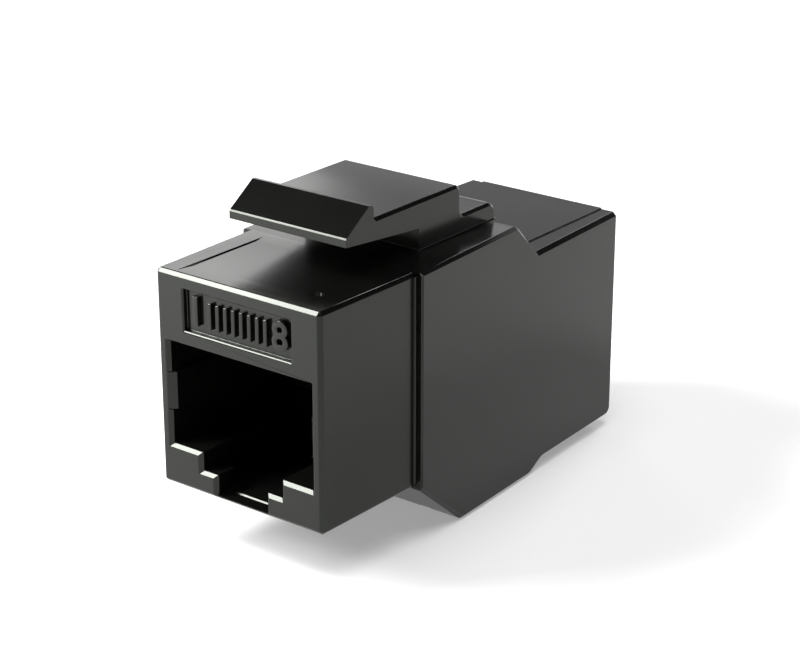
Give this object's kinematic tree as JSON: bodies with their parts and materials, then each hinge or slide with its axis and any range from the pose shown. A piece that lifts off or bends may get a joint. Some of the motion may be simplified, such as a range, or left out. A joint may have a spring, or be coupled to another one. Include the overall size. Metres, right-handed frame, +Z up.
{
  "type": "keystone network coupler",
  "caption": "Black snap-in keystone coupler with a stepped modular port at each end, a sprung latch on top and a lowered rear body.",
  "frame": {"origin": "middle of the length and width, on the underside of the keel that the part stands on", "axes": "+Y along the coupler from the front port to the rear port, +Z up towards the latch, +X to the right seen from the front"},
  "size_m": [0.016, 0.0362, 0.025],
  "materials": {
    "housing": "satin moulded plastic",
    "insert": "satin moulded plastic",
    "board": "solder mask over glass laminate",
    "contact": "gold plated spring wire"
  },
  "bodies": {
    "coupler": {"front_housing": "housing", "rear_housing": "housing", "front_contact_tray": "insert", "rear_contact_tray": "insert", "front_contact_block": "insert", "rear_contact_block": "insert", "circuit_board": "board", "front_contact_1": "contact", "front_contact_2": "contact", "front_contact_3": "contact", "front_contact_4": "contact", "front_contact_5": "contact", "front_contact_6": "contact", "front_contact_7": "contact", "front_contact_8": "contact", "rear_contact_1": "contact", "rear_contact_2": "contact", "rear_contact_3": "contact", "rear_contact_4": "contact", "rear_contact_5": "contact", "rear_contact_6": "contact", "rear_contact_7": "contact", "rear_contact_8": "contact"},
    "latch": {"latch_arm": "housing"}
  },
  "joints": [
    {"name": "latch_flex", "type": "hinge", "parent": "coupler", "child": "latch", "pos_m": [0, -0.00485, 0.023], "axis": [1, 0, 0], "range_deg": [0, 12], "stiffness_Nm_per_rad": 0.3}
  ]
}
